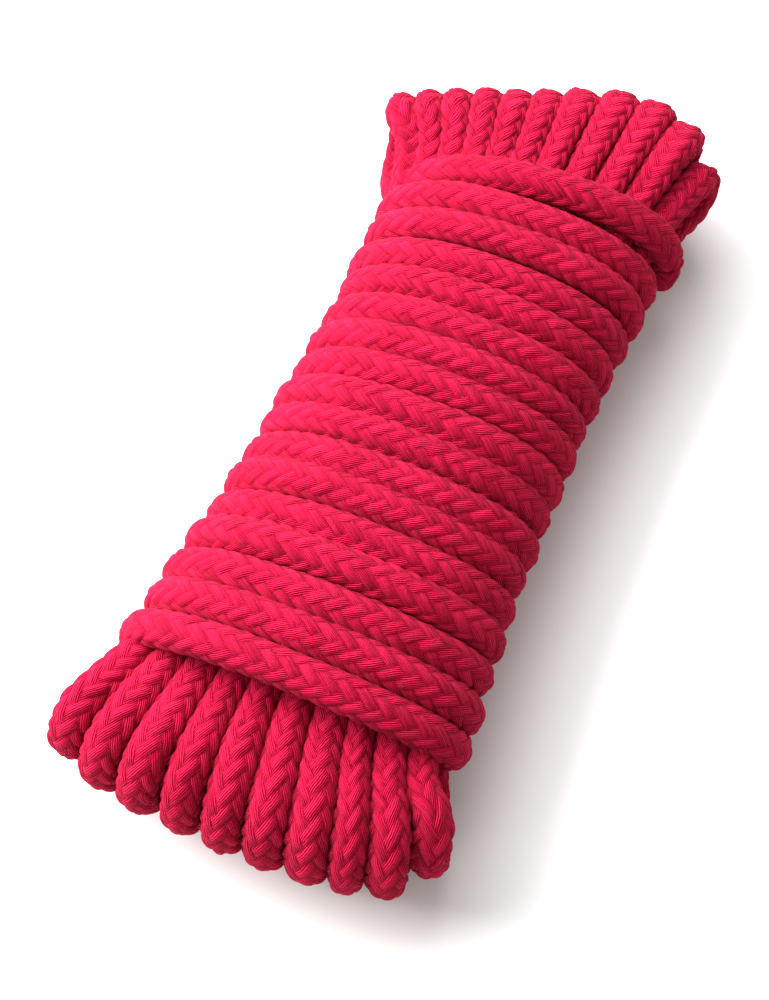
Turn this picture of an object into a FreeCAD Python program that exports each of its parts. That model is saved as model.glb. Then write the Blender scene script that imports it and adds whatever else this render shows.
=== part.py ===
"""Lead rope: soft braided rope folded lengthwise into a hank and wound round the waist.

Frame: X along the hank, Y across it, Z up. The origin is the middle of the footprint, on the
surface that the hank lies on. Sizes are in millimetres and stand in the spreadsheet.
"""
import FreeCAD, Part
import math
import os
import Sketcher

V = FreeCAD.Vector
os.makedirs("parts", exist_ok=True)
doc = FreeCAD.newDocument("lead_rope")

# ---------------------------------------------------------------- driving dimensions
SIZES = [
    ("rope_dia", 8.0, "rope, over the braid"),
    ("wrap_count", 17, "crosswise turns"),
    ("wrap_pitch", 8.38, "from one crosswise turn to the next"),
    ("wrap_groove", 2.2, "depth of the groove between two crosswise turns"),
    ("coil_half_width", 36.8, "middle to side of the crosswise turns"),
    ("coil_height", 44.6, "crosswise turns, top to underside"),
    ("coil_side_radius", 15.0, "bend of the middle line at the sides of a crosswise turn"),
    ("coil_shift", -5.4, "middle of the crosswise turns, along the hank"),
    ("settle", 0.5, "how far the underside is pressed flat"),
    ("gap", 0.3, "clearance between neighbouring solids"),
    ("reach", 109.8, "middle to the tip of either end"),
    ("near_half_width", 46.8, "middle to side of the near bights"),
    ("far_half_width", 45.6, "middle to side of the far bights"),
    ("loop_height", 36.0, "a bight, top to underside"),
    ("fan_length", 30.0, "from a tip back to the shoulder of the fan"),
    ("shoulder_height", 32.0, "fan at its shoulder, top to underside"),
    ("loop_drop", 3.0, "how far the bights sag below the middle of the crosswise turns"),
    ("end_length", 56.0, "straight stretch of a rope end under the crosswise turns"),
    ("end_offset", 5.6, "rope ends, from the middle line"),
    ("whipping_length", 10.0, "twine binding on a rope end"),
    ("whipping_wall", 0.8, "thickness of the twine binding"),
    ("whipping_play", 0.05, "clearance of the twine binding on the rope"),
]
sheet = doc.addObject("Spreadsheet::Sheet", "sizes")
for row, (alias, value, note) in enumerate(SIZES, start=1):
    sheet.set("A%d" % row, alias.replace("_", " "))
    sheet.set("B%d" % row, str(value))
    sheet.set("C%d" % row, note)
    sheet.setAlias("B%d" % row, alias)
doc.recompute()


def size(alias):
    """The value of one named cell."""
    return float(sheet.get(alias))


def bind(obj, **formulas):
    """Ties properties to cells: a double underscore in a name stands for a dot."""
    for name, formula in formulas.items():
        obj.setExpression(name.replace("__", "."), formula)


MIDDLE_Z = "(sizes.coil_height - sizes.settle) / 2"


def origin_plane(body, role):
    """One of a body's own origin planes."""
    return [f for f in body.Origin.OriginFeatures if f.Role == role][0]


def flat_sketch(body, name, role):
    """A sketch on one of the body's origin planes."""
    sketch = body.newObject("Sketcher::SketchObject", name)
    sketch.AttachmentSupport = [(origin_plane(body, role), "")]
    sketch.MapMode = "FlatFace"
    return sketch


def tie(sketch, name, constraint, formula):
    """Adds a dimension to a sketch and ties it to the sheet."""
    index = sketch.addConstraint(constraint)
    sketch.renameConstraint(index, name)
    sketch.setExpression("Constraints." + name, formula)


# ---------------------------------------------------------------- wrapping coil
def make_wrapping_coil():
    """Outer shape of the crosswise turns: an oval band with one ridge for each turn.

    The oval has four arcs. Its middle line is half a rope inside the outer faces.
    """
    rope = size("rope_dia")
    wide = size("coil_half_width") - rope / 2
    tall = (size("coil_height") + size("settle") - rope) / 2
    small = size("coil_side_radius")
    large = (wide**2 - 2 * wide * small + tall**2) / (2 * (tall - small))
    turn = math.atan2(wide - small, large - tall)     # half the angle of the top arc
    mid_z = (size("coil_height") - size("settle")) / 2
    body = doc.addObject("PartDesign::Body", "wrapping_coil")

    # sketch axes on the YZ plane: first along Y, second along Z
    oval = flat_sketch(body, "coil_oval", "YZ_Plane")
    up, quarter = V(0, 0, 1), math.pi / 2
    arcs = [
        (V(0, mid_z - (large - tall), 0), large, quarter - turn, quarter + turn),
        (V(-(wide - small), mid_z, 0), small, quarter + turn, 3 * quarter - turn),
        (V(0, mid_z + (large - tall), 0), large, 3 * quarter - turn, 3 * quarter + turn),
        (V(wide - small, mid_z, 0), small, 3 * quarter + turn, 5 * quarter - turn),
    ]
    for centre, radius, start, stop in arcs:
        oval.addGeometry(Part.ArcOfCircle(Part.Circle(centre, up, radius), start, stop), False)
    for k in range(4):
        oval.addConstraint(Sketcher.Constraint("Tangent", k, 2, (k + 1) % 4, 1))
    oval.addConstraint(Sketcher.Constraint("Horizontal", 1, 3, 3, 3))
    oval.addConstraint(Sketcher.Constraint("Equal", 0, 2))
    tie(oval, "side_radius", Sketcher.Constraint("Radius", 1, small), "sizes.coil_side_radius")
    tie(oval, "other_side", Sketcher.Constraint("Radius", 3, small), "sizes.coil_side_radius")
    side = "sizes.coil_half_width - sizes.rope_dia / 2 - sizes.coil_side_radius"
    tie(oval, "right_centre", Sketcher.Constraint("DistanceX", -1, 1, 3, 3, wide - small), side)
    tie(oval, "left_centre", Sketcher.Constraint("DistanceX", 1, 3, -1, 1, wide - small), side)
    tie(oval, "centre_height", Sketcher.Constraint("DistanceY", -1, 1, 3, 3, mid_z), MIDDLE_Z)
    tie(oval, "top_radius", Sketcher.Constraint("Radius", 0, large),
        "((sizes.coil_half_width - sizes.rope_dia / 2)^2"
        " - 2 * (sizes.coil_half_width - sizes.rope_dia / 2) * sizes.coil_side_radius"
        " + ((sizes.coil_height + sizes.settle - sizes.rope_dia) / 2)^2)"
        " / (sizes.coil_height + sizes.settle - sizes.rope_dia - 2 * sizes.coil_side_radius)")

    # section of one turn on the XZ plane: flat sides and inside, a round ridge outside
    pitch, groove = size("wrap_pitch"), size("wrap_groove")
    top = size("coil_height")
    first_x = size("coil_shift") - (size("wrap_count") - 1) * pitch / 2
    left, right = first_x - pitch / 2, first_x + pitch / 2
    section = flat_sketch(body, "coil_section", "XZ_Plane")
    ridge = Part.Arc(V(right, top - groove, 0), V(first_x, top, 0), V(left, top - groove, 0))
    section.addGeometry(ridge, False)
    corners = [V(left, top - groove, 0), V(left, top - rope, 0),
               V(right, top - rope, 0), V(right, top - groove, 0)]
    for k in range(3):
        section.addGeometry(Part.LineSegment(corners[k], corners[k + 1]), False)
    for k in range(4):
        section.addConstraint(Sketcher.Constraint("Coincident", k, 2, (k + 1) % 4, 1))
    for k, way in ((1, "Vertical"), (2, "Horizontal"), (3, "Vertical")):
        section.addConstraint(Sketcher.Constraint(way, k))
    section.addConstraint(Sketcher.Constraint("Equal", 1, 3))
    tie(section, "pitch", Sketcher.Constraint("DistanceX", 2, 1, 2, 2, pitch), "sizes.wrap_pitch")
    tie(section, "wall", Sketcher.Constraint("DistanceY", 1, 2, 1, 1, rope - groove),
        "sizes.rope_dia - sizes.wrap_groove")
    tie(section, "inside", Sketcher.Constraint("DistanceY", -1, 1, 2, 1, top - rope),
        "sizes.coil_height - sizes.rope_dia")
    bend = ((pitch / 2)**2 + groove**2) / (2 * groove)
    tie(section, "ridge", Sketcher.Constraint("Radius", 0, bend),
        "((sizes.wrap_pitch / 2)^2 + sizes.wrap_groove^2) / (2 * sizes.wrap_groove)")
    tie(section, "first", Sketcher.Constraint("DistanceX", 2, 2, -1, 1, -right),
        "(sizes.wrap_count - 2) * sizes.wrap_pitch / 2 - sizes.coil_shift")
    doc.recompute()

    pipe = body.newObject("PartDesign::AdditivePipe", "one_turn")
    pipe.Profile = (section, [""])
    pipe.Spine = (oval, [])
    doc.recompute()
    row = body.newObject("PartDesign::LinearPattern", "all_turns")
    row.Originals = [pipe]
    row.Direction = (section, ["H_Axis"])
    row.Occurrences = int(size("wrap_count"))
    bind(row, Length="(sizes.wrap_count - 1) * sizes.wrap_pitch")
    body.Tip = row
    doc.recompute()
    # the underside is pressed flat where it lies on the surface
    floor = body.newObject("PartDesign::SubtractiveBox", "underside")
    bind(floor, Length="2 * sizes.reach", Width="2 * sizes.coil_half_width", Height="10")
    bind(floor, Placement__Base__x="-sizes.reach", Placement__Base__y="-sizes.coil_half_width",
         Placement__Base__z="-10")
    body.Tip = floor
    doc.recompute()
    return body


# ---------------------------------------------------------------- folded hank
def make_folded_hank():
    """Outer shape of the lengthwise turns: a loft of ellipses from tip to tip.

    It is narrow under the crosswise turns, fans out past them and ends round, as the bights do.
    """
    waist_wide = "sizes.coil_half_width - sizes.rope_dia - 2.5 * sizes.gap"
    waist_tall = "((sizes.coil_height + sizes.settle) / 2 - sizes.rope_dia - 2.5 * sizes.gap)"
    # Inset of the fan's sides and place of its middle across, in rope diameters: first at the
    # shoulder, then where the rounded end has turned to 90, 70, 50, 30 and 10 degrees from level.
    # The far bights stand on a slanted arc, so that end narrows sooner and to one side.
    turned = (90, 70, 50, 30, 10)
    fans = {
        "near": ((1.1, 0.0), (0.2, 0.0), (0.25, 0.05), (0.4, 0.15), (0.7, 0.3), (1.3, 0.5)),
        "far": ((0.6, 0.0), (0.6, -0.2), (1.2, -0.5), (2.0, -0.9), (2.8, -1.3), (3.7, -1.6)),
    }
    sections = []          # along X, across Y, half width, half height, drop
    for end, facing in (("near", -1), ("far", 1)):
        waist = "%d * (sizes.wrap_count * sizes.wrap_pitch / 2 + sizes.gap) + sizes.coil_shift" % facing
        shoulder = "%d * (sizes.reach - sizes.fan_length)" % facing
        places = [(shoulder, "sizes.shoulder_height / 2", "sizes.loop_drop / 2")]
        for angle in turned:
            back, up = 1 - math.cos(math.radians(angle)), math.sin(math.radians(angle))
            places.append(("%d * (sizes.reach - %.4f * sizes.loop_height / 2)" % (facing, back),
                           "%.4f * sizes.loop_height / 2" % up, "sizes.loop_drop"))
        fan = [(waist, "0", waist_wide, waist_tall, "0")]
        for (along, tall, drop), (inset, across) in zip(places, fans[end]):
            fan.append((along, "%.2f * sizes.rope_dia" % across,
                        "sizes.%s_half_width - %.2f * sizes.rope_dia" % (end, inset), tall, drop))
        sections += fan[::-1] if facing < 0 else fan
    ovals = []
    for k, (along, across, wide, tall, drop) in enumerate(sections):
        oval = doc.addObject("Part::Ellipse", "hank_section_%d" % (k + 1))
        # the ellipse lies in the YZ plane, its long axis along Y
        oval.Placement = FreeCAD.Placement(V(), FreeCAD.Rotation(V(0, 1, 0), V(0, 0, 1), V(1, 0, 0), "XYZ"))
        bind(oval, MajorRadius=wide, MinorRadius=tall, Placement__Base__x=along, Placement__Base__y=across,
             Placement__Base__z=MIDDLE_Z + " - " + drop)
        ovals.append(oval)
    hank = doc.addObject("Part::Loft", "hank_outer_shape")
    hank.Sections = ovals
    hank.Solid = True
    hank.Ruled = True

    for name, side in (("start", -1), ("tail", 1)):
        groove = doc.addObject("Part::Cylinder", name + "_groove")
        groove.Placement = FreeCAD.Placement(V(), FreeCAD.Rotation(V(0, 1, 0), 90))
        bind(groove, Radius="sizes.rope_dia / 2 + sizes.whipping_wall + sizes.gap",
             Height="sizes.end_length + 2 * sizes.gap",
             Placement__Base__x=END_X + " - sizes.gap", Placement__Base__y="%d * sizes.end_offset" % side,
             Placement__Base__z=END_Z)
        cut = doc.addObject("Part::Cut", "hank_with_%s_groove" % name)
        cut.Base = hank
        cut.Tool = groove
        hank = cut
        doc.recompute()
    return hank


# ---------------------------------------------------------------- rope ends
END_X = "(sizes.coil_shift - sizes.end_length / 2)"
END_Z = "(1.5 * sizes.rope_dia - sizes.settle + sizes.whipping_wall + 2.5 * sizes.gap)"


def make_rope_end(name, side):
    """A straight stretch of rope that lies in its groove under the crosswise turns."""
    rope = doc.addObject("Part::Cylinder", name)
    rope.Placement = FreeCAD.Placement(V(), FreeCAD.Rotation(V(0, 1, 0), 90))
    bind(rope, Radius="sizes.rope_dia / 2", Height="sizes.end_length", Placement__Base__x=END_X,
         Placement__Base__y="%d * sizes.end_offset" % side, Placement__Base__z=END_Z)
    return rope


def make_whipping(name, side, facing):
    """Twine bound round a rope end: a short sleeve that is turned about the rope's middle line.

    facing is -1 where the rope ends towards -X, and 1 where it ends towards +X.
    """
    body = doc.addObject("PartDesign::Body", name)
    sketch = flat_sketch(body, name + "_section", "XZ_Plane")
    inner = size("rope_dia") / 2 + size("whipping_play")
    outer = size("rope_dia") / 2 + size("whipping_wall")
    long = size("whipping_length")
    corners = [V(0, inner, 0), V(long, inner, 0), V(long, outer, 0), V(0, outer, 0)]
    for k in range(4):
        sketch.addGeometry(Part.LineSegment(corners[k], corners[(k + 1) % 4]), False)
    for k in range(4):
        sketch.addConstraint(Sketcher.Constraint("Coincident", k, 2, (k + 1) % 4, 1))
        sketch.addConstraint(Sketcher.Constraint("Horizontal" if k % 2 == 0 else "Vertical", k))
    sketch.addConstraint(Sketcher.Constraint("PointOnObject", 0, 1, -2))
    tie(sketch, "length", Sketcher.Constraint("DistanceX", 0, 1, 0, 2, long), "sizes.whipping_length")
    tie(sketch, "inside", Sketcher.Constraint("DistanceY", -1, 1, 0, 1, inner),
        "sizes.rope_dia / 2 + sizes.whipping_play")
    tie(sketch, "wall", Sketcher.Constraint("DistanceY", 1, 1, 1, 2, outer - inner),
        "sizes.whipping_wall - sizes.whipping_play")
    doc.recompute()
    turned = body.newObject("PartDesign::Revolution", name + "_sleeve")
    turned.Profile = (sketch, [""])
    turned.ReferenceAxis = (sketch, ["H_Axis"])
    turned.Angle = 360.0
    from_end = "(sizes.whipping_length / 2 + sizes.gap)"
    middle = "sizes.coil_shift + %d * (sizes.end_length / 2 - %s)" % (facing, from_end)
    bind(body, Placement__Base__x=middle + " - sizes.whipping_length / 2",
         Placement__Base__y="%d * sizes.end_offset" % side, Placement__Base__z=END_Z)
    doc.recompute()
    return body


subparts = {
    "folded_hank": make_folded_hank(),
    "wrapping_coil": make_wrapping_coil(),
    "start_end": make_rope_end("start_end", -1),
    "start_whipping": make_whipping("start_whipping", -1, -1),
    "tucked_tail": make_rope_end("tucked_tail", 1),
    "tail_whipping": make_whipping("tail_whipping", 1, 1),
}
doc.recompute()

# ---------------------------------------------------------------- checks and export
for obj in doc.Objects:
    if "Invalid" in obj.State or "Error" in obj.State:
        raise RuntimeError("%s failed: %s" % (obj.Name, obj.State))
for node, obj in subparts.items():
    obj.Label = node
    shape = obj.Shape
    if shape.isNull() or not shape.isValid():
        raise RuntimeError(node + " has no valid shape")
    box = shape.BoundBox
    print("%-16s solids %d  volume %.0f mm3  x %.1f..%.1f  y %.1f..%.1f  z %.2f..%.2f" % (
        node, len(shape.Solids), shape.Volume, box.XMin, box.XMax, box.YMin, box.YMax, box.ZMin, box.ZMax))
    shape.exportStep("parts/%s.step" % node)
names = list(subparts)
for i, a in enumerate(names):
    for b in names[i + 1:]:
        shared = subparts[a].Shape.common(subparts[b].Shape).Volume
        if shared > 0.5:
            print("overlap %s and %s: %.1f mm3" % (a, b, shared))
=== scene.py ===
"""Looks of the lead rope: a soft braided cotton rope folded into a hank and wound round the waist.

Lengths are in rope diameters unless a name ends in _m or a comment says so. The working frame has X
along the hank, Y across it and Z up from the table; frame_point() turns it into the CAD frame.
"""
import bpy
import math
from functools import partial
import numpy as np
from mathutils import Matrix, Vector


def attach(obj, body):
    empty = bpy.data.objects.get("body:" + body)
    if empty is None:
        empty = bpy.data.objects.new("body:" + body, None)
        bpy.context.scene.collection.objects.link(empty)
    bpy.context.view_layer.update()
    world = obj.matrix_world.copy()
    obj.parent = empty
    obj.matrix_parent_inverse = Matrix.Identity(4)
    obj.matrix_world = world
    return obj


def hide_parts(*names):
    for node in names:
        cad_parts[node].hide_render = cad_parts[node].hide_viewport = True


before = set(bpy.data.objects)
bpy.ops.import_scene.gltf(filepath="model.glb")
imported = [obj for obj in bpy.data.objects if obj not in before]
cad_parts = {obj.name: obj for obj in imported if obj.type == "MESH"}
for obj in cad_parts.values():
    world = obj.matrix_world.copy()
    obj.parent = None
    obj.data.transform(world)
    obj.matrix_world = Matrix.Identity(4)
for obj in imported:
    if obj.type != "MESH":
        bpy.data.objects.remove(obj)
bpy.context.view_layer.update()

ROPE_M = 0.008                              # rope diameter
START = np.array([-0.875, 0.0, 0.0])        # from the working frame to the CAD frame


def frame_point(p):
    """Working frame to CAD frame: shift along X, then multiply by the rope diameter."""
    return (np.asarray(p, float) + START) * ROPE_M


# ---------------------------------------------------------------- camera
def place_camera():
    """A camera 43 rope diameters away, 67 degrees up, looking along the hank from its near end.

    Its backward direction comes from the two angles; the roll then turns its side and top.
    """
    up, turn, roll = 1.178, 0.444, -0.011      # radians
    distance = 42.68
    target = np.array([-1.776, 0.247, 2.5])
    back = np.array([-math.cos(up) * math.cos(turn), -math.cos(up) * math.sin(turn), math.sin(up)])
    side = np.cross(-back, [0, 0, 1])
    side /= np.linalg.norm(side)
    top = np.cross(side, -back)
    c, s = math.cos(roll), math.sin(roll)
    side, top = c * side + s * top, c * top - s * side
    data = bpy.data.cameras.new("camera")
    data.lens = 52.3
    data.sensor_width = 36.0
    data.clip_start = 0.01
    camera = bpy.data.objects.new("camera", data)
    place = Matrix(np.column_stack([side, top, back]).tolist()).to_4x4()
    place.translation = Vector(frame_point(target + distance * back).tolist())
    camera.matrix_world = place
    bpy.context.scene.collection.objects.link(camera)
    bpy.context.scene.camera = camera


place_camera()

# ---------------------------------------------------------------- the rope's line
HALF_H = 2.78                  # half the height of the crosswise turns
WRAPS = 17                     # crosswise turns
PER_TURN = 16                  # points of the line in each of them
# tips of the bights, (along, across), from the left side of the hank to its right
NEAR_TIPS = [(-12.35, 5.15), (-12.75, 3.95), (-12.9, 2.7), (-12.9, 1.4), (-12.88, 0.15),
             (-12.8, -1.05), (-12.68, -2.25), (-12.48, -3.35), (-12.15, -4.35), (-11.15, -5.15)]
FAR_TIPS = [(11.35, 5.3), (11.8, 4.5), (12.2, 3.65), (12.6, 2.8), (12.95, 1.9), (13.35, 1.0),
            (13.8, 0.05), (14.25, -1.1), (14.35, -2.25), (13.95, -3.35)]
# where each bight comes out from under the crosswise turns, across
NEAR_OUT = [4.1, 3.25, 2.4, 1.55, 0.7, -0.25, -1.2, -2.05, -2.95, -3.85]
FAR_OUT = [4.0, 3.45, 2.8, 2.1, 1.4, 0.7, -0.05, -0.95, -1.9, -2.85]
# under those turns: how far along they hold a strand, its place across, and its height either way
WAIST_X = 2.8
WAIST_Y = [2.55, 1.75, 1.5, 0.6, 0.5, -0.5, -0.6, -1.5, -1.75, -2.55]
WAIST_Z = [0.35, 1.12, 0.30, 1.25, 0.38, 0.38, 1.25, 0.30, 1.12, 0.35]
END_Y, END_Z = 0.7, 1.63       # the two hidden rope ends, either side of the middle


def crown(y, half, high):
    """Height of an elliptic arch of half width half and height high, at y across."""
    return high * math.sqrt(max(0.0, 1 - (y / half) ** 2))


def half_width(x):
    """Half the width of the crosswise turns: a parabola along the hank, wider towards both ends."""
    u = x / 8.5
    return 4.45 - 0.29 * u + 0.475 * u * u


def wrap_x(turn):
    """Place along the hank of a crosswise turn: a cubic, so the far turns lie a little apart."""
    w = turn - WRAPS / 2
    return -(w - 0.056 * w * w / 20 + 0.195 * w ** 3 / 300)


def fold_radius(y):
    """Radius of a bight's fold, smaller by a cube law towards the sides of the hank."""
    return 1.75 * (1 - 0.16 * abs(y / 5.3) ** 3)


def round_tip(tip_x, facing, y, drift, z):
    """Four points that draw a half circle whose outermost point is at tip_x.

    The strand lies at y at the tip and is drift further back for each radius away from it.
    """
    r = fold_radius(y)
    k = 0.414                  # tangent of an eighth of a half turn
    order = [(k, -facing), (1, -k * facing), (1, k * facing), (k, facing)]
    return [(tip_x + facing * (r * dx - r), y - (1 - dx) * drift, z + r * dz) for dx, dz in order]


def lengthwise_turns():
    """The hidden start, ten strands folded back and forth, and the last bight at the far right.

    Each strand goes from a far bight over the middle to a near one, and back under it. Where it
    leaves the crosswise turns its height follows an elliptic arch across the hank.
    """
    m = HALF_H
    line = [(-3.3, -END_Y, END_Z), (-1.0, -END_Y, END_Z), (1.4, -END_Y, END_Z),
            (3.7, -0.55, END_Z + 0.1), (5.8, 0.6, m - 0.5), (7.4, 2.2, m - 0.7),
            (8.3, 3.9, m - 1.25), (8.95, 4.85, m - 1.6)]
    strands = len(FAR_TIPS)
    for j in range(strands):
        (tip, y), out = FAR_TIPS[j], FAR_OUT[j]
        lean = y - out
        if j > 0:
            line.append((9.4, 0.6 * FAR_OUT[j - 1] + 0.4 * out, m - crown(out, 5.0, 1.125)))
        line += round_tip(tip - 0.5, 1, y, 0.1 * lean, m - 0.25)
        x = 9.9 - 0.12 * out
        line += [(x, out + 0.25 * lean, m + crown(out, 5.2, 1.5)),
                 (x - 2.2, out * 0.93, m + crown(out, 4.6, 1.25)),
                 (WAIST_X, WAIST_Y[j], m + WAIST_Z[j]),
                 (-WAIST_X, WAIST_Y[j], m + WAIST_Z[j])]
        (tip, y), out = NEAR_TIPS[j], NEAR_OUT[j]
        lean = y - out
        line += [(-7.2, out * 0.93, m + crown(out, 4.8, 0.95)),
                 (-9.2, out + 0.2 * lean, m + crown(out, 5.3, 1.18))]
        line += round_tip(tip + 0.5, -1, y, 0.3 * lean, m - 0.45)
        line += [(-9.3 + 0.06 * out * out, out + 0.3 * lean, m - crown(out, 5.2, 1.5)),
                 (-7.0, out * 0.9, m - crown(out, 4.6, 1.2)),
                 (-WAIST_X, WAIST_Y[j], m - WAIST_Z[j]),
                 (WAIST_X, WAIST_Y[j], m - WAIST_Z[j])]
        if j < strands - 1:
            between = 0.5 * (FAR_OUT[j] + FAR_OUT[j + 1])
            line.append((7.4, between, m - crown(between, 4.6, 1.2)))
    # the last far bight is folded flat, and leads round the right side into the first turn
    line += [(7.2, -3.1, m + 0.2), (9.2, -3.6, m + 0.7), (10.7, -3.95, m + 0.7),
             (11.8, -4.22, m + 0.68), (12.28, -4.38, m + 0.36), (12.28, -4.46, m - 0.26),
             (11.8, -4.42, m - 0.58), (10.9, -4.1, m - 0.62), (10.1, -3.8, m - 0.9),
             (9.5, -3.85, m - 1.2), (9.15, -4.2, m - 1.1), (9.1, -4.5, m - 0.5)]
    return line


def crosswise_turns():
    """The turns round the waist: an oval that advances along the hank by one pitch a turn.

    Across and up are a cosine and a sine to the power 2 / 2.16, which makes the oval a little
    square. Most of the advance is made over the top. The points stand outside the oval, because
    the curve runs inside them.
    """
    squareness = 2 / 2.16
    over_top = 0.72            # share of a turn's advance that is made over the top
    outward = math.cos(math.pi / PER_TURN)
    line = []
    for k in range(WRAPS * PER_TURN - 1):
        turns = (k + 0.5) / PER_TURN
        i, t = int(turns), turns - int(turns)
        c, s = -math.cos(2 * math.pi * t), math.sin(2 * math.pi * t)
        advance = over_top * t * 2 if t < 0.5 else over_top + (1 - over_top) * (t - 0.5) * 2
        x = wrap_x(i + advance + 0.5 - over_top / 2)
        grow = 0.0
        if i == 0:
            # the first turn starts wide, and over the top it dips under the second
            x += 0.32 * max(0.0, 1 - t * 2.2) ** 2.2
            dip = math.exp(-((t - 0.43) / 0.15) ** 2)
            x -= 0.29 * dip
            grow = 0.15 * max(0.0, 1 - t * 2.5) - 0.20 * dip
        # turns laid by hand are never quite even
        x += 0.045 * math.sin(2.3 * turns + 0.8) * math.sin(5.1 * turns) + 0.035 * math.sin(9.7 * i + 1.0)
        grow += 0.035 * math.sin(3.9 * turns + 0.3) + 0.03 * math.sin(7.3 * i)
        wide = (half_width(min(x, 8.8)) - 0.5 + grow) / outward
        tall = (HALF_H - 0.5 + grow) / outward
        line.append((x, wide * math.copysign(abs(c) ** squareness, c),
                     HALF_H + tall * math.copysign(abs(s) ** squareness, s)))
    return line


def tucked_tail():
    """The tail: round the near right side of the waist, then back under the turns."""
    m = HALF_H
    return [(-9.0, -4.0, m - 0.5), (-9.0, -3.1, m - 0.1), (-8.7, -2.1, m - 0.1), (-7.5, -0.8, m - 0.3),
            (-5.6, 0.4, m - 0.7), (-3.9, END_Y, END_Z + 0.1),
            (-2.0, END_Y, END_Z), (0.8, END_Y, END_Z), (3.7, END_Y, END_Z)]


def rope_curve(points):
    """The same line as a NURBS curve of order 3, in metres in the CAD frame."""
    data = bpy.data.curves.new("rope_line", "CURVE")
    data.dimensions = "3D"
    spline = data.splines.new("NURBS")
    spline.points.add(len(points) - 1)
    flat = np.column_stack([frame_point(points), np.ones(len(points))])
    spline.points.foreach_set("co", flat.ravel())
    spline.order_u = 3
    spline.use_endpoint_u = True
    spline.resolution_u = 16
    return data


def read_line(data):
    """The points of a curve without a bevel, in order, as an array."""
    holder = bpy.data.objects.new("line_reader", data)
    bpy.context.scene.collection.objects.link(holder)
    mesh = bpy.data.meshes.new_from_object(holder.evaluated_get(bpy.context.evaluated_depsgraph_get()))
    co = np.empty(len(mesh.vertices) * 3)
    mesh.vertices.foreach_get("co", co)
    bpy.data.objects.remove(holder)
    bpy.data.meshes.remove(mesh)
    return co.reshape(-1, 3)


def unit(v):
    """Vectors of length one."""
    return v / np.linalg.norm(v, axis=-1, keepdims=True)


class Path:
    """The rope's line by arc length, with a side direction that turns as little as it can."""

    def __init__(self, co):
        step = np.linalg.norm(np.diff(co, axis=0), axis=1)
        self.co = co[np.concatenate([[True], step > 1e-7])]
        self.s = np.concatenate([[0], np.cumsum(np.linalg.norm(np.diff(self.co, axis=0), axis=1))])
        self.side = np.empty_like(self.co)
        tangent = unit(np.gradient(self.co, self.s, axis=0))
        last = np.cross(tangent[0], [0, 0, 1.0])
        for k, t in enumerate(tangent):
            last = last - t * last.dot(t)
            last = last / math.sqrt(last.dot(last))
            self.side[k] = last

    def pick(self, rows, s):
        """Rows of three values, read off at arc lengths s."""
        return np.column_stack([np.interp(s, self.s, rows[:, i]) for i in range(3)])

    def at(self, s):
        """Points at arc lengths s, and two directions square to the line and to each other."""
        co = self.pick(self.co, s)
        tangent = unit(np.gradient(co, s, axis=0))
        side = self.pick(self.side, s)
        side = unit(side - tangent * np.sum(side * tangent, axis=1, keepdims=True))
        return co, side, np.cross(tangent, side)


hank_line = lengthwise_turns()
points = np.array(hank_line + crosswise_turns() + tucked_tail())
path = Path(read_line(rope_curve(points)))
LENGTH_M = float(path.s[-1])
along_hank = path.co[:, 0] / ROPE_M - START[0]


def arc_at_point(number):
    """Arc length in metres at a point of the line: its share of the points is close enough."""
    return path.s[int(len(path.s) * number / len(points))]


wrap_start = arc_at_point(len(hank_line))
wrap_stop = arc_at_point(len(hank_line) + WRAPS * PER_TURN)


# ---------------------------------------------------------------- meshes
def mesh_object(name, verts, tris, material, smooth=True):
    """A mesh object from arrays of points and triangles."""
    mesh = bpy.data.meshes.new(name)
    mesh.vertices.add(len(verts))
    mesh.vertices.foreach_set("co", verts.ravel().astype(np.float32))
    mesh.loops.add(len(tris) * 3)
    mesh.loops.foreach_set("vertex_index", tris.ravel().astype(np.int32))
    mesh.polygons.add(len(tris))
    mesh.polygons.foreach_set("loop_start", (np.arange(len(tris)) * 3).astype(np.int32))
    mesh.polygons.foreach_set("use_smooth", np.full(len(tris), smooth))
    mesh.update(calc_edges=True)
    mesh.materials.append(material)
    obj = bpy.data.objects.new(name, mesh)
    bpy.context.scene.collection.objects.link(obj)
    return obj


def finish_piece(obj):
    """Ties a piece to the one body."""
    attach(obj, "root")


def end_fans(rows, sides):
    """Triangles that close both ends of a tube, round two middle points after the last ring."""
    first = np.arange(sides)
    last = first + (rows - 1) * sides
    return [np.stack([np.roll(first, -1), first, np.full(sides, rows * sides)], -1),
            np.stack([last, np.roll(last, -1), np.full(sides, rows * sides + 1)], -1)]


def tube_faces(rows, sides):
    """Triangles of a closed tube: two for each cell between its rings, and a fan at each end."""
    ring = np.arange(rows - 1)[:, None] * sides
    left = ring + np.arange(sides)[None, :]
    right = ring + (np.arange(sides)[None, :] + 1) % sides
    return np.concatenate([np.stack([left, right, right + sides], -1).reshape(-1, 3),
                           np.stack([left, right + sides, left + sides], -1).reshape(-1, 3)]
                          + end_fans(rows, sides))


def plain_tube(name, step, radius_at, sides, material):
    """A smooth tube along the whole line: rings square to it, at the radius given for each place."""
    rows = max(3, int(LENGTH_M / step))
    s = np.linspace(0, LENGTH_M, rows)
    co, side, other = path.at(s)
    angle = 2 * math.pi * np.arange(sides) / sides
    offset = (np.cos(angle)[None, :, None] * side[:, None, :]
              + np.sin(angle)[None, :, None] * other[:, None, :])
    xyz = co[:, None, :] + offset * radius_at(s)[:, None, None]
    xyz[..., 2] = np.maximum(xyz[..., 2], CORE_LOWEST_M)
    verts = np.concatenate([xyz.reshape(-1, 3), co[:1], co[-1:]])
    obj = mesh_object(name, verts, tube_faces(rows, sides), material)
    finish_piece(obj)
    return obj


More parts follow.
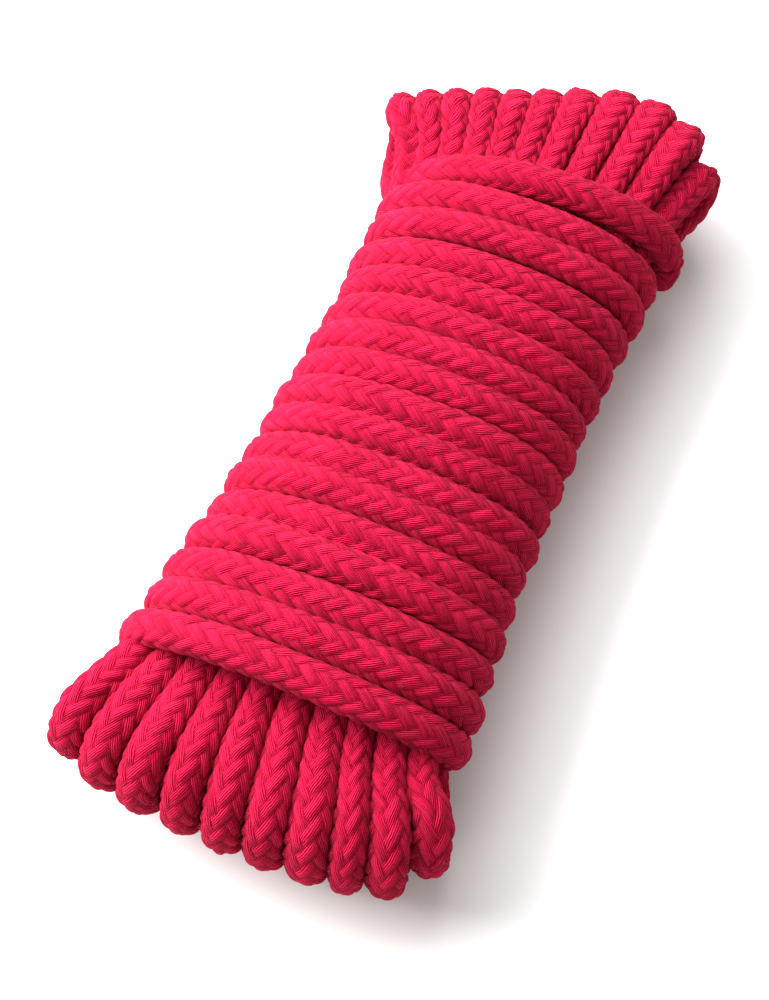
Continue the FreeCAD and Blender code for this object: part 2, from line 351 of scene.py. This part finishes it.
# ---------------------------------------------------------------- braid
CARRIERS = 8                   # strands that go each way round
FINE = 6                       # grid lines from one strand to the next
AROUND = CARRIERS * FINE
BRAID_TURN = math.tan(math.radians(37)) / 0.5                # radians round for each diameter along
ROW = 2 * math.pi / AROUND / (2 * BRAID_TURN)                # row spacing
CREST = 0.518                                                # radius over the top of a strand
LOWEST_M = 0.00002                                           # the cover is pressed flat on the table
CORE_LOWEST_M = 0.00004                                      # and the core lies just inside it
FLOAT_UNEVEN = np.random.default_rng(5).normal(size=4096)    # each float is a little different


def squash_at(s):
    """How much the section is widened along X, Y and Z at arc lengths s, in the CAD frame.

    The crosswise turns are wider along the hank. Bights are wider or narrower across it, by
    straight ramps that start where they come out from under the turns.
    """
    x = np.interp(s, path.s, along_hank)
    wrap = ((s > wrap_start) & (s < wrap_stop)).astype(float)
    near = np.clip((-x - 8.5) / 2.0, 0, 1) * (1 - wrap)
    far = np.clip((x - 8.5) / 2.0, 0, 1) * (1 - wrap)
    far_tips = np.clip((x - 10.0) / 3.0, 0, 1) * (1 - wrap)
    return np.column_stack([1 + 0.11 * wrap,
                            1 + 0.15 * near - 0.12 * far + 0.27 * far_tips,
                            1 + 0.04 * far - 0.02 * near - 0.01 * wrap])


def slow_noise(n, spacing, seed):
    """A smooth random row of n values with a bend about every spacing values."""
    r = np.random.default_rng(seed)
    knots = r.normal(size=int(n / spacing) + 4)
    at = np.linspace(0, len(knots) - 1.001, n)
    k = at.astype(int)
    f = at - k
    f = f * f * (3 - 2 * f)
    return knots[k] * (1 - f) + knots[np.minimum(k + 1, len(knots) - 1)] * f


def float_height(p, q):
    """Height of the braid at strand counts p one way and q the other: 0 in a groove, 1 on top.

    A cell is the square round a crossing. A strand is on top over two cells and then under two.
    Over its two cells it is a pillow: one less a power of the distance across it, times one less
    a power of that along it, so it sinks to the groove on all sides. Each float has its own height.
    """
    k, m = np.round(p), np.round(q)
    a, b = p - k, q - m
    cell = np.mod(m + k, 4)
    one_way = cell < 2
    along = np.where(one_way, np.where(cell < 1, b - 0.5, b + 0.5), np.where(cell < 3, a - 0.5, a + 0.5))
    across = np.where(one_way, a, b)
    pillow = (1 - np.abs(2 * across) ** 2.3) * (1 - np.abs(along) ** 2.6)
    first = np.where(one_way & (cell >= 1), m - 1, m)
    second = np.where(cell >= 3, k - 1, k)
    # any whole numbers will do here, so long as floats side by side get different ones
    key = (np.mod(first, 1024) * 53 + np.mod(second, CARRIERS) * 811 + one_way * 131).astype(int)
    return pillow * (1 + 0.16 * FLOAT_UNEVEN[np.mod(key, len(FLOAT_UNEVEN))])


def squarer(offset, power):
    """A round section made squarer: Y is raised to a power, and X and Z are multiplied to match."""
    y = offset[..., 1]
    rest = np.sqrt(np.maximum(1 - y ** 2, 1e-6)) ** (power - 1)
    return np.stack([offset[..., 0] * rest, np.sign(y) * np.abs(y) ** power, offset[..., 2] * rest], -1)


def braid_stretch(s0, s1, number, width, relief, boxy):
    """Points, triangles and corner coordinates of the cover from s0 to s1, as one closed tube.

    Rows lie ROW apart and each is turned by half a step against the last, so that grid lines run
    along the strands. p counts strands one way round and q the other way: both are whole at a
    strand's middle. The radius is the crest's less the relief, plus the relief times the height.
    """
    rows = int((s1 - s0) / ROPE_M / ROW)
    i, j = np.arange(AROUND)[None, :], np.arange(rows)[:, None]
    s = s0 + j[:, 0] * ROW * ROPE_M
    co, side, other = path.at(s)
    start = int(round(s0 / ROPE_M / ROW))        # the braid runs on from stretch to stretch
    radius = CREST - relief + relief * float_height((i + 0 * j) / FINE, (i + j + start) / FINE)
    radius = radius * (1 + 0.014 * slow_noise(rows, 40, 30 + number)[:, None])
    angle = (i + (j + start) / 2) * 2 * math.pi / AROUND
    offset = np.cos(angle)[..., None] * side[:, None, :] + np.sin(angle)[..., None] * other[:, None, :]
    if boxy != 1.0:
        offset = squarer(offset, boxy)
    scale = squash_at(s)[:, None, :] * np.array([1.0, width, 1.0])
    xyz = co[:, None, :] + offset * scale * radius[..., None] * ROPE_M
    xyz[..., 2] = np.maximum(xyz[..., 2], LOWEST_M)
    verts = np.concatenate([xyz.reshape(-1, 3), co[:1], co[-1:]])
    left, right = j[:-1] * AROUND + i, j[:-1] * AROUND + (i + 1) % AROUND
    tris = [np.stack([left, right, left + AROUND], -1).reshape(-1, 3),
            np.stack([right, right + AROUND, left + AROUND], -1).reshape(-1, 3)]

    def corner(di, dj):
        """Braid coordinates of one corner of every cell; they run past the seam."""
        return np.stack([(i + di + 0 * j[:-1]) / FINE, (i + di + j[:-1] + start + dj) / FINE], -1)

    uvs = [np.stack([corner(0, 0), corner(1, 0), corner(0, 1)], 2).reshape(-1, 2),
           np.stack([corner(1, 0), corner(1, 1), corner(0, 1)], 2).reshape(-1, 2),
           np.zeros((2 * AROUND * 3, 2))]
    return verts, np.concatenate(tris + end_fans(rows, AROUND)), np.concatenate(uvs)


def braided_tube(name, stretches, widths=None, relief=0.056, boxy=1.0):
    """Braided cover over stretches of the rope: one closed tube each, all in one piece."""
    verts, tris, uvs = [], [], []
    base = 0
    for number, (s0, s1) in enumerate(stretches):
        width = widths[number] if widths else 1.0
        more_verts, more_tris, more_uvs = braid_stretch(s0, s1, number, width, relief, boxy)
        verts.append(more_verts)
        tris.append(more_tris + base)
        uvs.append(more_uvs)
        base += len(more_verts)
    obj = mesh_object(name, np.concatenate(verts), np.concatenate(tris), red_cotton)
    layer = obj.data.uv_layers.new(name="Braid")
    layer.data.foreach_set("uv", np.concatenate(uvs).ravel().astype(np.float32))
    finish_piece(obj)
    return obj


# ---------------------------------------------------------------- materials
YARNS = 6.0                    # yarns side by side in a strand
YARN_SLANT = 0.16              # how far they slant across a strand for its length


def node_math(tree, operation, *values):
    """A math node; numbers go on its inputs and sockets are joined to them."""
    node = tree.nodes.new("ShaderNodeMath")
    node.operation = operation
    for k, value in enumerate(values):
        if isinstance(value, (int, float)):
            node.inputs[k].default_value = value
        else:
            tree.links.new(value, node.inputs[k])
    return node.outputs[0]


def white_noise(tree, value):
    """A random number from 0 to 1 that depends on one value."""
    node = tree.nodes.new("ShaderNodeTexWhiteNoise")
    node.noise_dimensions = "1D"
    tree.links.new(value, node.inputs["W"])
    return node.outputs["Value"]


def soft_noise(tree, vector, scale, detail):
    """A noise texture node on the given coordinates."""
    node = tree.nodes.new("ShaderNodeTexNoise")
    node.inputs["Scale"].default_value = scale
    node.inputs["Detail"].default_value = detail
    tree.links.new(vector, node.inputs["Vector"])
    return node


def braid_group():
    """Node group: from braid coordinates to yarn lines, groove, fibre, and a number for each float
    and for each yarn in it.

    It finds the strand on top by the same rule as float_height(). The yarn lines are a sine of the
    distance across the strand, slanted a little along it. The groove is a power of that distance or
    of the one along the strand, whichever is more.
    """
    tree = bpy.data.node_groups.new("braid_yarns", "ShaderNodeTree")
    tree.interface.new_socket("Coordinates", in_out="INPUT", socket_type="NodeSocketVector")
    for name in ("Yarn", "Float", "Groove", "Strand", "Fibre"):
        tree.interface.new_socket(name, in_out="OUTPUT", socket_type="NodeSocketFloat")
    group_in, group_out = tree.nodes.new("NodeGroupInput"), tree.nodes.new("NodeGroupOutput")
    split = tree.nodes.new("ShaderNodeSeparateXYZ")
    tree.links.new(group_in.outputs[0], split.inputs[0])
    calc = partial(node_math, tree)

    def choose(flag, yes, no):
        """The first value where the flag is 1 and the second where it is 0."""
        return calc("ADD", calc("MULTIPLY", flag, yes), calc("MULTIPLY", calc("SUBTRACT", 1.0, flag), no))

    p, q = split.outputs[0], split.outputs[1]
    k, m = calc("FLOOR", calc("ADD", p, 0.5)), calc("FLOOR", calc("ADD", q, 0.5))
    a, b = calc("SUBTRACT", p, k), calc("SUBTRACT", q, m)
    cell = calc("FLOORED_MODULO", calc("ADD", k, m), 4.0)
    one_way = calc("LESS_THAN", cell, 1.5)
    second_cell = calc("GREATER_THAN", calc("FLOORED_MODULO", cell, 2.0), 0.5)
    across = choose(one_way, a, b)
    length = calc("ADD", choose(one_way, b, a), calc("SUBTRACT", second_cell, 0.5))
    slanted = calc("ADD", across, calc("MULTIPLY", length, YARN_SLANT))
    yarn = calc("SINE", calc("MULTIPLY", slanted, 2 * math.pi * YARNS))
    first = choose(one_way, calc("SUBTRACT", m, second_cell), m)
    second = choose(one_way, k, calc("SUBTRACT", k, second_cell))
    strand = calc("FLOORED_MODULO", second, float(CARRIERS))
    seed = calc("ADD", calc("MULTIPLY", first, 1.37), calc("MULTIPLY", strand, 7.13))
    yarn_seed = calc("ADD", seed, calc("FLOOR", calc("MULTIPLY", across, YARNS)))
    sides = calc("POWER", calc("ABSOLUTE", calc("MULTIPLY", across, 2.0)), 4.0)
    ends = calc("POWER", calc("ABSOLUTE", length), 6.0)
    # fibres are noise drawn out along the yarns
    streak = tree.nodes.new("ShaderNodeCombineXYZ")
    tree.links.new(calc("MULTIPLY", slanted, 26.0), streak.inputs[0])
    tree.links.new(calc("MULTIPLY", length, 4.0), streak.inputs[1])
    tree.links.new(calc("MULTIPLY", seed, 3.1), streak.inputs[2])
    fibre = soft_noise(tree, streak.outputs[0], scale=1.0, detail=2.0).outputs[0]
    groove = calc("MAXIMUM", sides, ends)
    outputs = (yarn, white_noise(tree, seed), groove, white_noise(tree, yarn_seed), fibre)
    for socket, value in zip(group_out.inputs, outputs):
        tree.links.new(value, socket)
    return tree


def cotton_base(name):
    """Soft matte cotton with a faint fuzz; its colour is left to the caller."""
    mat = bpy.data.materials.new(name)
    mat.use_nodes = True
    shader = mat.node_tree.nodes["Principled BSDF"]
    shader.inputs["Roughness"].default_value = 0.86
    shader.inputs["Specular IOR Level"].default_value = 0.03
    shader.inputs["Sheen Weight"].default_value = 0.06
    shader.inputs["Sheen Roughness"].default_value = 0.45
    shader.inputs["Sheen Tint"].default_value = (1.0, 0.30, 0.45, 1.0)
    return mat, shader


def plain_cotton(name, colour):
    """Cotton of one colour."""
    mat, shader = cotton_base(name)
    shader.inputs["Base Color"].default_value = (*colour, 1)
    return mat


def colour_mix(tree, factor, high):
    """A mix node towards the colour high by a factor; its first colour is left to the caller."""
    node = tree.nodes.new("ShaderNodeMix")
    node.data_type = "RGBA"
    node.inputs["B"].default_value = (*high, 1)
    tree.links.new(factor, node.inputs["Factor"])
    return node


def swayed_braid(tree, coords):
    """Braid coordinates moved a little by noise, because floats of soft cotton are never quite even."""
    sway = 0.13
    noise = soft_noise(tree, coords, scale=750.0, detail=1.0)
    shift = tree.nodes.new("ShaderNodeVectorMath")
    shift.operation = "MULTIPLY_ADD"
    tree.links.new(noise.outputs["Color"], shift.inputs[0])
    shift.inputs[1].default_value = (sway, sway, 0.0)
    shift.inputs[2].default_value = (-sway / 2, -sway / 2, 0.0)
    uv = tree.nodes.new("ShaderNodeUVMap")
    uv.uv_map = "Braid"
    moved = tree.nodes.new("ShaderNodeVectorMath")
    moved.operation = "ADD"
    tree.links.new(uv.outputs[0], moved.inputs[0])
    tree.links.new(shift.outputs[0], moved.inputs[1])
    return moved.outputs[0]


def braided_cotton(name, colour, dark, pale):
    """Cotton yarns side by side in each strand, with painted shade in the grooves and between the yarns and
    a painted highlight on the yarns' crests.
    """
    mat, shader = cotton_base(name)
    tree = mat.node_tree
    coords = tree.nodes.new("ShaderNodeTexCoord").outputs["Object"]
    group = tree.nodes.new("ShaderNodeGroup")
    group.node_tree = braid_group()
    tree.links.new(swayed_braid(tree, coords), group.inputs[0])
    yarn, one_float, groove, strand, fibre = group.outputs
    fuzz = soft_noise(tree, coords, scale=2600.0, detail=3.0).outputs[0]
    calc = partial(node_math, tree)
    # lightness: each yarn's own random tone, its float's, painted light and shade across each yarn's round
    # crest, fibres, fine fuzz, and painted shade in the groove
    light = calc("ADD", 0.42, calc("MULTIPLY", strand, 0.36))
    light = calc("ADD", light, calc("MULTIPLY", one_float, 0.16))
    # painted light and shade across the yarns: lighter on each crest, darker between yarns
    light = calc("ADD", light, calc("MULTIPLY", yarn, 0.22))
    light = calc("ADD", light, calc("MULTIPLY", calc("SUBTRACT", fibre, 0.5), 0.7))
    light = calc("ADD", light, calc("MULTIPLY", calc("SUBTRACT", fuzz, 0.5), 0.4))
    # painted shade in the grooves between floats
    light = calc("SUBTRACT", light, calc("MULTIPLY", groove, 0.30))
    clamp = tree.nodes.new("ShaderNodeClamp")
    tree.links.new(light, clamp.inputs[0])
    shade = colour_mix(tree, clamp.outputs[0], colour)
    shade.inputs["A"].default_value = (*dark, 1)
    # painted highlight: the crests of the yarns are mixed towards a paler colour
    crest = calc("POWER", calc("MAXIMUM", yarn, 0.0), 2.0)
    crest = calc("MULTIPLY", crest, calc("ADD", 0.08, calc("MULTIPLY", strand, 0.46)))
    crest = calc("MULTIPLY", crest, calc("SUBTRACT", 1.0, groove))
    crests = colour_mix(tree, crest, pale)
    tree.links.new(shade.outputs["Result"], crests.inputs["A"])
    tree.links.new(crests.outputs["Result"], shader.inputs["Base Color"])
    height = calc("ADD", calc("MULTIPLY", yarn, 1.1), calc("MULTIPLY", fuzz, 0.9))
    height = calc("ADD", height, calc("MULTIPLY", fibre, 0.9))
    height = calc("SUBTRACT", height, calc("MULTIPLY", groove, 0.4))
    bump = tree.nodes.new("ShaderNodeBump")
    bump.inputs["Strength"].default_value = 0.8
    bump.inputs["Distance"].default_value = 0.00014
    tree.links.new(height, bump.inputs["Height"])
    tree.links.new(bump.outputs[0], shader.inputs["Normal"])
    return mat


# the last colour is a painted highlight for the yarns' crests; the dark one takes the painted shade in the
# grooves as well as random tone
red_cotton = braided_cotton("red_cotton", (0.58, 0.007, 0.050), (0.12, 0.0, 0.005), (0.70, 0.032, 0.10))
twine = plain_cotton("binding_twine", (0.42, 0.006, 0.03))
inner_cotton = plain_cotton("inner_cotton", (0.20, 0.001, 0.010))

# ---------------------------------------------------------------- the pieces
NEAR_EDGE, FAR_EDGE = -7.9, 7.1      # the bights' cover starts at these places along the hank
TURN_PIECES = 5
END_M = 6.6 * ROPE_M                 # cover on each hidden end
# how much wider or narrower than the rest each bight lies
near_widths = [1.04, 1.03, 1.05, 0.99, 1.02, 1.03, 1.07, 0.86, 0.98, 1.0]
far_widths = [1.05, 1.03, 1.09, 1.05, 1.08, 1.04, 1.09, 1.08, 1.12, 1.13, 1.06]


def runs_where(mask, least=2):
    """Arc-length stretches over which the mask holds."""
    edge = np.flatnonzero(np.diff(np.concatenate([[0], mask.astype(int), [0]])))
    return [(path.s[a], path.s[b - 1]) for a, b in zip(edge[::2], edge[1::2]) if b - a > least]


def bights(name, runs, count, widths, boxy):
    """The bights of one end of the hank, shared out over a number of pieces."""
    share = math.ceil(len(runs) / count)
    parts = [slice(k * share, (k + 1) * share) for k in range(count)]
    return [braided_tube("%s_%d" % (name, k + 1), runs[part], widths[part], boxy=boxy)
            for k, part in enumerate(parts)]


folded = path.s < wrap_start
near_runs = runs_where(folded & (along_hank < NEAR_EDGE))
far_runs = runs_where(folded & (along_hank > FAR_EDGE))
end_runs = [(0.0, END_M), (LENGTH_M - END_M, LENGTH_M)]
cover = bights("near_bights", near_runs, 2, near_widths, 1.0)
cover += bights("far_bights", far_runs, 3, far_widths, 0.74)
cover.append(braided_tube("hidden_ends", end_runs))
turn_edges = np.linspace(wrap_start, wrap_stop + 2.0 * ROPE_M, TURN_PIECES + 1)
overlap_m = 0.02 * ROPE_M            # each piece of the turns starts just inside the last
for k in range(TURN_PIECES):
    stretch = (turn_edges[k] - overlap_m, turn_edges[k + 1])
    cover.append(braided_tube("turns_%d" % (k + 1), [stretch], relief=0.044))


def whipping(name, middle_x, y, node):
    """Twine wound close round a rope end: a helix about X, thinner at its two ends. In metres."""
    turns, per_turn, sides = 12, 24, 8
    r_twine, r_wind, width = 0.00042, 0.00445, 0.0094
    t = np.linspace(0, turns * 2 * np.pi, turns * per_turn + 1)
    middle = np.column_stack([middle_x - width / 2 + width * t / t[-1],
                              y + r_wind * np.cos(t), END_Z * ROPE_M + r_wind * np.sin(t)])
    outward = np.column_stack([np.zeros_like(t), np.cos(t), np.sin(t)])
    i = np.arange(sides) * 2 * np.pi / sides
    thick = r_twine * np.minimum(1, 0.35 + np.minimum(t, t[-1] - t))
    ring = (np.cos(i)[None, :, None] * outward[:, None, :]
            + np.sin(i)[None, :, None] * np.array([1.0, 0, 0])) * thick[:, None, None]
    verts = np.concatenate([(middle[:, None, :] + ring).reshape(-1, 3), middle[:1], middle[-1:]])
    # these rings run the other way round, so the triangles are turned over
    obj = mesh_object(name, verts, tube_faces(len(t), sides)[:, ::-1], twine)
    finish_piece(obj)
    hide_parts(node)
    return obj


cover.append(whipping("start_twine", -0.0281, -END_Y * ROPE_M, "start_whipping"))
cover.append(whipping("tail_twine", 0.0173, END_Y * ROPE_M, "tail_whipping"))

# the core is thinner where the cover hides it, and nearly full size in the rest of the rope
THIN_CORE, FULL_CORE, MARGIN_M = 0.43, 0.49, 0.004
covered = np.zeros(len(path.s), bool)
for s0, s1 in near_runs + far_runs + end_runs + [(wrap_start, wrap_stop)]:
    covered |= (path.s > s0 - MARGIN_M) & (path.s < s1 + MARGIN_M)
core_radius = np.where(covered, THIN_CORE, FULL_CORE) * ROPE_M
core = plain_tube("rope_core", 0.24 * ROPE_M, lambda s: np.interp(s, path.s, core_radius), 10, inner_cotton)
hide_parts("folded_hank", "wrapping_coil", "start_end", "tucked_tail")
follow = path.co[::4]
if np.linalg.norm(follow[-1] - path.co[-1]) > 1e-5:
    follow = np.concatenate([follow, path.co[-1:]])

# ---------------------------------------------------------------- table and light
def floor_sheet():
    """A wide pale table top just under the rope."""
    r = 15.0
    verts = np.array([(-r, -r, 0), (r, -r, 0), (r, r, 0), (-r, r, 0)]) - np.array([0, 0, 0.0001])
    mat = bpy.data.materials.new("white_table")
    mat.use_nodes = True
    shader = mat.node_tree.nodes["Principled BSDF"]
    shader.inputs["Base Color"].default_value = (0.90, 0.90, 0.90, 1)
    shader.inputs["Roughness"].default_value = 0.8
    obj = mesh_object("table", verts, np.array([(0, 1, 2), (0, 2, 3)]), mat, smooth=False)


def area_light(name, place, size, power, colour):
    """A square soft light at a place in metres, aimed at the middle of the hank."""
    data = bpy.data.lights.new(name, "AREA")
    data.size = size
    data.energy = power
    data.color = colour
    obj = bpy.data.objects.new(name, data)
    obj.location = place
    obj.rotation_euler = (Vector((0, 0, 0.01)) - Vector(place)).to_track_quat("-Z", "Y").to_euler()
    bpy.context.scene.collection.objects.link(obj)


floor_sheet()
world = bpy.data.worlds.new("soft_room")
world.use_nodes = True
world.node_tree.nodes["Background"].inputs[0].default_value = (1.0, 0.99, 0.98, 1)
world.node_tree.nodes["Background"].inputs[1].default_value = 0.50
bpy.context.scene.world = world
# one window stands off the left side, and a second one beyond the far end softens its shadow
area_light("window", (-0.01, 0.62, 0.35), 0.70, 20.0, (1.0, 0.99, 0.98))
area_light("far_window", (0.28, 0.33, 0.52), 0.7, 7.5, (1.0, 1.0, 1.0))
bpy.context.scene.view_settings.view_transform = "Standard"
